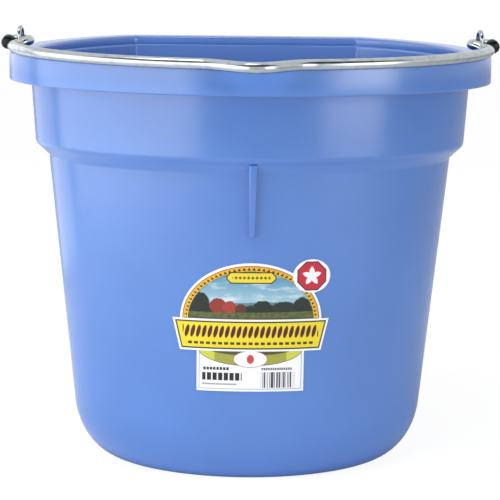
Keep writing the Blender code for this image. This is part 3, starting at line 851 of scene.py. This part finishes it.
class FEEDBUCKET_OT_shell(bpy.types.Operator):
    """Mould the bucket: wall, floor, stepped shoulder, rim with its hanging band and front rib"""

    bl_idname = "feed_bucket.shell"
    bl_label = "Bucket Shell"

    def execute(self, context):
        deselect()
        rows = section()
        count = len(plan(rows[0][0], rows[0][2]))
        bpy.ops.mesh.primitive_circle_add(vertices=count, radius=0.1, fill_type="NGON")
        shell = context.object
        shell.name = "moulded_shell"
        raise_outline(shell, rows)
        only(shell)
        bpy.ops.object.mode_set(mode="EDIT")
        bpy.ops.mesh.select_all(action="SELECT")
        bpy.ops.mesh.normals_make_consistent(inside=False)
        bpy.ops.object.mode_set(mode="OBJECT")
        joined(shell, self.rib(), "UNION")
        for side in (-1, 1):
            joined(shell, self.eye_seat(side), "UNION")
        for side in (-1, 1):
            for leg in (-1, 1):
                joined(shell, self.leg_hole(side, leg), "DIFFERENCE")
        shade(shell, radians(40))
        dress(shell, moulded_polyethylene(), "bucket", "blue_plastic", "bucket_shell")
        return {"FINISHED"}

    def rib(self):
        """The gusset under the front of the shoulder, with a blunt lower end."""
        deselect()
        bpy.ops.mesh.primitive_cube_add(size=1)
        rib = bpy.context.object
        sunk = sizes().wall * 0.4
        foot_z = SHOULDER_Z - sizes().rib_length
        wall_y = LOWER_TOP_INSET - FRONT_REACH
        foot_y = lower_inset(foot_z) - FRONT_REACH
        for vert in rib.data.vertices:
            above, ahead = vert.co.z > 0, vert.co.y < 0
            half = (sizes().rib_width if above else RIB_FOOT_WIDTH) / 2
            x = half if vert.co.x > 0 else -half
            if above:
                y = wall_y - sizes().rib_proud if ahead else wall_y + sunk
                z = SHOULDER_Z + SHOULDER_RISE * 0.55 if ahead else SHOULDER_Z
            else:
                y = foot_y - RIB_TIP if ahead else foot_y + sunk
                z = foot_z
            vert.co = (x, y, z)
        uprights = rib.modifiers.new("uprights", "BEVEL")
        uprights.width = SMALL_ROUND
        uprights.segments = 3
        uprights.limit_method = "ANGLE"
        apply_modifiers(rib)
        return rib

    def eye_seat(self, side):
        """The raised oval seat that an eye stands on."""
        deselect()
        deep = FLANGE * 0.5
        height = sizes().seat_height + deep
        bpy.ops.mesh.primitive_cone_add(
            vertices=48, radius1=SEAT_HALF_WIDTH, radius2=SEAT_HALF_WIDTH, depth=height,
            location=(side * EYE_X, 0, RIM_Z - deep + height / 2),
        )
        seat = bpy.context.object
        seat.scale.y = (EYE_HALF_SPAN + WIRE_RADIUS * 2.5) / SEAT_HALF_WIDTH
        settle(seat)
        rounded = seat.modifiers.new("rounded", "BEVEL")
        rounded.width = SMALL_ROUND
        rounded.segments = 4
        apply_modifiers(seat)
        return seat

    def leg_hole(self, side, leg):
        deselect()
        x = side * (EYE_X - leg * EYE_HALF_SPAN * sin(EYE_TOE))
        bpy.ops.mesh.primitive_cylinder_add(
            vertices=24, radius=WIRE_RADIUS + HOLE_CLEARANCE, depth=HOLE_LENGTH,
            location=(x, leg * EYE_HALF_SPAN * cos(EYE_TOE), RIM_Z),
        )
        return bpy.context.object


class FEEDBUCKET_OT_steel(bpy.types.Operator):
    """Finish the bail, the wire eyes and their backing plates in galvanised steel"""

    bl_idname = "feed_bucket.steel"
    bl_label = "Bail and Eyes"

    def execute(self, context):
        rod = galvanised("galvanised_rod", colours().rod, colours().rod_deep, 0.2, 0.003)
        wire = galvanised("galvanised_wire", "#b4babe", "#8b9399", 0.16, 0.002)
        plate = galvanised("galvanised_plate", "#b4bbbb", "#8c9494", 0.35, 0.004)
        pieces = [("bail_rod", "bail", rod, "bail", "galvanised_steel")]
        for side in ("left", "right"):
            pieces.append((f"wire_eye_{side}", f"eye_{side}", wire, "bucket", "eye_wire"))
            pieces.append(
                (f"backing_plate_{side}", f"eye_plate_{side}", plate, "bucket", "plate_steel")
            )
        for name, node_name, material, body, slot in pieces:
            piece = merged_copy(name, node_name)
            shade(piece, radians(45))
            dress(piece, material, body, slot, node_name)
        return {"FINISHED"}


class FEEDBUCKET_OT_caps(bpy.types.Operator):
    """Dip the two ends of the bail in black vinyl"""

    bl_idname = "feed_bucket.caps"
    bl_label = "Bail Caps"

    def execute(self, context):
        vinyl = dipped_vinyl()
        for side in ("left", "right"):
            cap = merged_copy(f"vinyl_cap_{side}", f"bail_cap_{side}")
            shade(cap, radians(50))
            dress(cap, vinyl, "bail", "black_vinyl", f"bail_cap_{side}")
        return {"FINISHED"}


class FEEDBUCKET_OT_label(bpy.types.Operator):
    """Cut the printed label to its outline and lay it on the front wall"""

    bl_idname = "feed_bucket.label"
    bl_label = "Printed Label"

    def execute(self, context):
        deselect()
        outline = self.outline()
        bpy.ops.mesh.primitive_circle_add(vertices=len(outline), radius=0.1, fill_type="NGON")
        label = context.object
        label.name = "die_cut_label"
        for vert, (across, up) in zip(label.data.vertices, outline):
            vert.co = (across, up, 0)
        self.cut_into_strips(label)
        self.write_flat_place(label)
        for vert in label.data.vertices:
            vert.co = self.on_wall(vert.co.x, vert.co.y)
        label.data.update()
        facing = sum(polygon.normal.y for polygon in label.data.polygons)
        if facing > 0:
            label.data.flip_normals()
        thick = label.modifiers.new("thickness", "SOLIDIFY")
        thick.thickness = sizes().label_thickness
        thick.offset = -1
        apply_modifiers(label)
        shade(label, radians(40))
        dress(label, printed_label(), "bucket", "printed_paper", "label")
        return {"FINISHED"}

    def outline(self):
        """The flat outline: panel, band, arch and the seal on the arch's shoulder."""
        seal = Vector((SEAL_SIDE, SEAL_Z))
        size = Vector((SEAL_HALF_WIDTH, SEAL_HALF_HEIGHT))

        def out_of_seal(point):
            off = point - seal
            return (off.x / size.x) ** 2 + (off.y / size.y) ** 2 > 1

        def over_arch(point):
            return (point.x / ARCH_HALF) ** 2 + ((point.y - BAND_TOP) / ARCH_RISE) ** 2 > 1

        arch = [
            Vector((ARCH_HALF * cos(angle), BAND_TOP + ARCH_RISE * sin(angle)))
            for angle in (pi * k / 80 for k in range(81))
        ]
        free = [point for point in arch if out_of_seal(point)]
        ring = [
            seal + size * Vector((cos(angle), sin(angle)))
            for angle in (-pi * 0.75 + 2 * pi * k / 64 for k in range(64))
        ]
        return [
            (-PANEL_HALF, PANEL_FOOT), (PANEL_HALF, PANEL_FOOT), (PANEL_HALF, BAND_FOOT),
            (BAND_HALF_FOOT, BAND_FOOT), (BAND_HALF_TOP, BAND_TOP),
            *(tuple(point) for point in free if point.x > SEAL_SIDE),
            *(tuple(point) for point in ring if over_arch(point)),
            *(tuple(point) for point in free if point.x < SEAL_SIDE),
            (-BAND_HALF_TOP, BAND_TOP), (-BAND_HALF_FOOT, BAND_FOOT), (-PANEL_HALF, BAND_FOOT),
        ]

    def cut_into_strips(self, label):
        """Cuts the flat label every few millimetres, so that it can bend to the wall."""
        only(label)
        bpy.ops.object.mode_set(mode="EDIT")
        strips, levels = 44, 12
        for k in range(1, strips):
            x = BAND_HALF_TOP * (2 * k / strips - 1)
            bpy.ops.mesh.select_all(action="SELECT")
            bpy.ops.mesh.bisect(plane_co=(x, 0, 0), plane_no=(1, 0, 0))
        for k in range(1, levels):
            y = PANEL_FOOT + (BAND_TOP + ARCH_RISE - PANEL_FOOT) * k / levels
            bpy.ops.mesh.select_all(action="SELECT")
            bpy.ops.mesh.bisect(plane_co=(0, y, 0), plane_no=(0, 1, 0))
        bpy.ops.object.mode_set(mode="OBJECT")

    def write_flat_place(self, label):
        """Keeps each point's flat place as the piece's own map."""
        maps = label.data.uv_layers
        flat = maps[0] if maps else maps.new(name="flat_place")
        for loop in label.data.loops:
            place = label.data.vertices[loop.vertex_index].co
            flat.data[loop.index].uv = (place.x / MAP_SPAN + 0.5, place.y / MAP_SPAN)

    def on_wall(self, along, z):
        """The point on the label's face that lies this far round the wall, at a height."""
        inset = lower_inset(z)
        paper = sizes().label_thickness
        angle, steps, step = 0.0, 12, radians(0.5)
        for _ in range(steps):
            speed = (inset_oval(angle + step, inset) - inset_oval(angle, inset)).length / step
            angle += abs(along) / steps / speed
        point, normal = oval(angle)
        point = point - normal * (inset - LABEL_GAP - paper)
        return Vector((point.x if along > 0 else -point.x, point.y, z))


class FEEDBUCKET_OT_studio(bpy.types.Operator):
    """Set up the pale floor, the soft lights and the camera"""

    bl_idname = "feed_bucket.studio"
    bl_label = "Studio"

    def execute(self, context):
        deselect()
        bpy.ops.mesh.primitive_plane_add(size=8, location=(0, 0, -0.0002))
        floor = context.object
        floor.name = "studio_floor"
        floor.data.materials.append(self.floor_paint())
        self.world()
        for name, place, size, energy, at in (
            ("key_softbox", (-0.62, -0.35, 0.30), (1.2, 0.58), 3.6, (0, 0, 0.30)),
            ("window_softbox", (0.71, -0.76, 0.31), (0.52, 0.56), 1.3, (0, 0, 0.31)),
            ("left_strip", (-0.50, 0.30, 0.30), (0.36, 0.56), 0.5, (0, 0, 0.30)),
            ("top_softbox", (-0.35, -0.65, 1.7), (1.0, 0.8), 16.0, (0, 0, 0.16)),
            ("fill_softbox", (1.3, -1.3, 0.55), (0.7, 1.0), 3.0, (0, 0, 0.16)),
        ):
            self.softbox(name, Vector(place), size, energy, Vector(at))
        self.flag()
        self.camera(context.scene)
        context.scene.view_settings.view_transform = "Standard"
        return {"FINISHED"}

    def softbox(self, name, place, size, energy, at):
        light = bpy.data.lights.new(name, "AREA")
        light.shape = "RECTANGLE"
        light.size, light.size_y = size
        light.energy = energy
        lamp = bpy.data.objects.new(name, light)
        bpy.context.scene.collection.objects.link(lamp)
        lamp.location = place
        lamp.rotation_euler = (at - place).to_track_quat("-Z", "Y").to_euler()

    def flag(self):
        """A dark flag overhead, ahead of the bucket. It draws a grey line along bright metal,
        and only reflections see it."""
        deselect()
        bpy.ops.mesh.primitive_plane_add(size=1, location=(0, -1.7, 1.5))
        flag = bpy.context.object
        flag.name = "overhead_flag"
        flag.scale = (4.0, 2.4, 1)
        settle(flag)
        material, _, shader = new_material("black_felt")
        shader.inputs["Base Color"].default_value = linear("#3a3c40")
        shader.inputs["Roughness"].default_value = 1.0
        flag.data.materials.append(material)
        flag.visible_camera = flag.visible_diffuse = flag.visible_shadow = False

    def floor_paint(self):
        """White sweep paper, lit from behind as the eye sees it, so that it runs into the
        white behind it and keeps a soft shadow. To the lights it is plain pale paper."""
        material, tree, shader = new_material("sweep_paper")
        shader.inputs["Base Color"].default_value = linear("#eeeff0")
        shader.inputs["Roughness"].default_value = 0.9
        path = node(tree, "ShaderNodeLightPath")
        glow = node(tree, "ShaderNodeEmission", {"Color": (1.0, 1.0, 1.0, 1.0), "Strength": 1.08})
        share = node(
            tree, "ShaderNodeMath", {0: path.outputs["Is Camera Ray"], 1: 0.85},
            operation="MULTIPLY",
        )
        mixed = node(
            tree, "ShaderNodeMixShader",
            {0: share.outputs["Value"], 1: shader.outputs["BSDF"], 2: glow.outputs["Emission"]},
        )
        out = tree.nodes["Material Output"]
        tree.links.new(mixed.outputs["Shader"], out.inputs["Surface"])
        return material

    def world(self):
        world = bpy.data.worlds.new("studio_world")
        bpy.context.scene.world = world
        world.use_nodes = True
        tree = world.node_tree
        background = tree.nodes["Background"]
        path = node(tree, "ShaderNodeLightPath")
        seen = node(
            tree, "ShaderNodeMath",
            {0: path.outputs["Is Camera Ray"], 1: path.outputs["Is Transmission Ray"]},
            operation="MAXIMUM",
        )
        seen = node(
            tree, "ShaderNodeMath",
            {0: seen.outputs["Value"], 1: path.outputs["Is Glossy Ray"]}, operation="MAXIMUM",
        )
        strength = spread(tree, seen.outputs["Value"], 0.0, 1.0, 0.45, 1.0)
        background.inputs["Color"].default_value = (1, 1, 1, 1)
        tree.links.new(strength, background.inputs["Strength"])

    def camera(self, scene):
        """A long lens a step away, a little above the rim and just left of the middle."""
        camera = bpy.data.objects.new("camera", bpy.data.cameras.new("camera"))
        scene.collection.objects.link(camera)
        camera.data.lens = 136.2
        camera.data.sensor_width = 36.0
        camera.location = (-0.0318, -1.4296, 0.4129)
        heading = Matrix.Rotation(-0.0230, 4, "Z")
        pitch = Matrix.Rotation(pi / 2 - 0.1761, 4, "X")
        roll = Matrix.Rotation(0.0114, 4, "Z")
        camera.rotation_euler = (heading @ pitch @ roll).to_euler()
        scene.camera = camera


# ---------------------------------------------------------------- add-on


class FEEDBUCKET_PT_panel(bpy.types.Panel):
    """Lists the bucket's sizes and colours and the steps that build it"""

    bl_label = "Feed Bucket"
    bl_idname = "FEEDBUCKET_PT_panel"
    bl_space_type = "VIEW_3D"
    bl_region_type = "UI"
    bl_category = "Feed Bucket"

    def draw(self, context):
        for group in (sizes(), colours()):
            for name in type(group).__annotations__:
                self.layout.prop(group, name)
        for operator in OPERATORS:
            self.layout.operator(operator.bl_idname)


OPERATORS = (
    FEEDBUCKET_OT_shell,
    FEEDBUCKET_OT_steel,
    FEEDBUCKET_OT_caps,
    FEEDBUCKET_OT_label,
    FEEDBUCKET_OT_studio,
)
CLASSES = (FeedBucketSizes, FeedBucketColours, *OPERATORS, FEEDBUCKET_PT_panel)


def register():
    for cls in CLASSES:
        bpy.utils.register_class(cls)
    bpy.types.Scene.feed_bucket_sizes = PointerProperty(type=FeedBucketSizes)
    bpy.types.Scene.feed_bucket_colours = PointerProperty(type=FeedBucketColours)


def unregister():
    del bpy.types.Scene.feed_bucket_colours
    del bpy.types.Scene.feed_bucket_sizes
    for cls in reversed(CLASSES):
        bpy.utils.unregister_class(cls)


def main():
    register()
    bpy.ops.feed_bucket.shell()
    bpy.ops.feed_bucket.steel()
    bpy.ops.feed_bucket.caps()
    bpy.ops.feed_bucket.label()
    bpy.ops.feed_bucket.studio()


if __name__ == "__main__":
    main()
